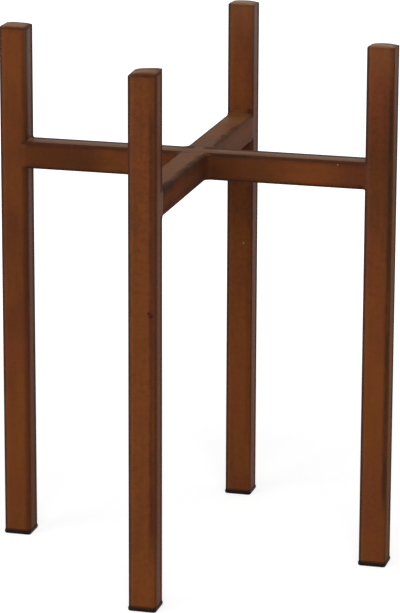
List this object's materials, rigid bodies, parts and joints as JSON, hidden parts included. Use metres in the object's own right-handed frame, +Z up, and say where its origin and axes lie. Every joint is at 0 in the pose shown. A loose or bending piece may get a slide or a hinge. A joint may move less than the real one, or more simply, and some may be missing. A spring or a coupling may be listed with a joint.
{
  "type": "plant stand",
  "caption": "Plant stand of square steel tube: four upright legs joined by a level cross that carries a pot between the leg tops, on black plastic feet.",
  "frame": {"origin": "on the floor, under the middle of the cross", "axes": "+Z up; X along the long bar of the cross, from the left leg to the right leg; +Y towards the back leg"},
  "size_m": [0.296, 0.296, 0.391],
  "materials": {
    "tube_paint": "satin antique copper-brown paint, softly mottled, darker along the edges",
    "weld_paint": "the same paint where it gathers dark over the ground welds",
    "foot_plastic": "moulded black plastic"
  },
  "bodies": {
    "root": {"leg_left": "tube_paint", "leg_right": "tube_paint", "leg_front": "tube_paint", "leg_back": "tube_paint", "cross_tube": "tube_paint", "half_tube_front": "tube_paint", "half_tube_back": "tube_paint", "cap_left": "tube_paint", "cap_right": "tube_paint", "cap_front": "tube_paint", "cap_back": "tube_paint", "foot_left": "foot_plastic", "foot_right": "foot_plastic", "foot_front": "foot_plastic", "foot_back": "foot_plastic", "weld_left": "weld_paint", "weld_right": "weld_paint", "weld_front": "weld_paint", "weld_back": "weld_paint", "weld_cross_front": "weld_paint", "weld_cross_back": "weld_paint"}
  },
  "joints": []
}
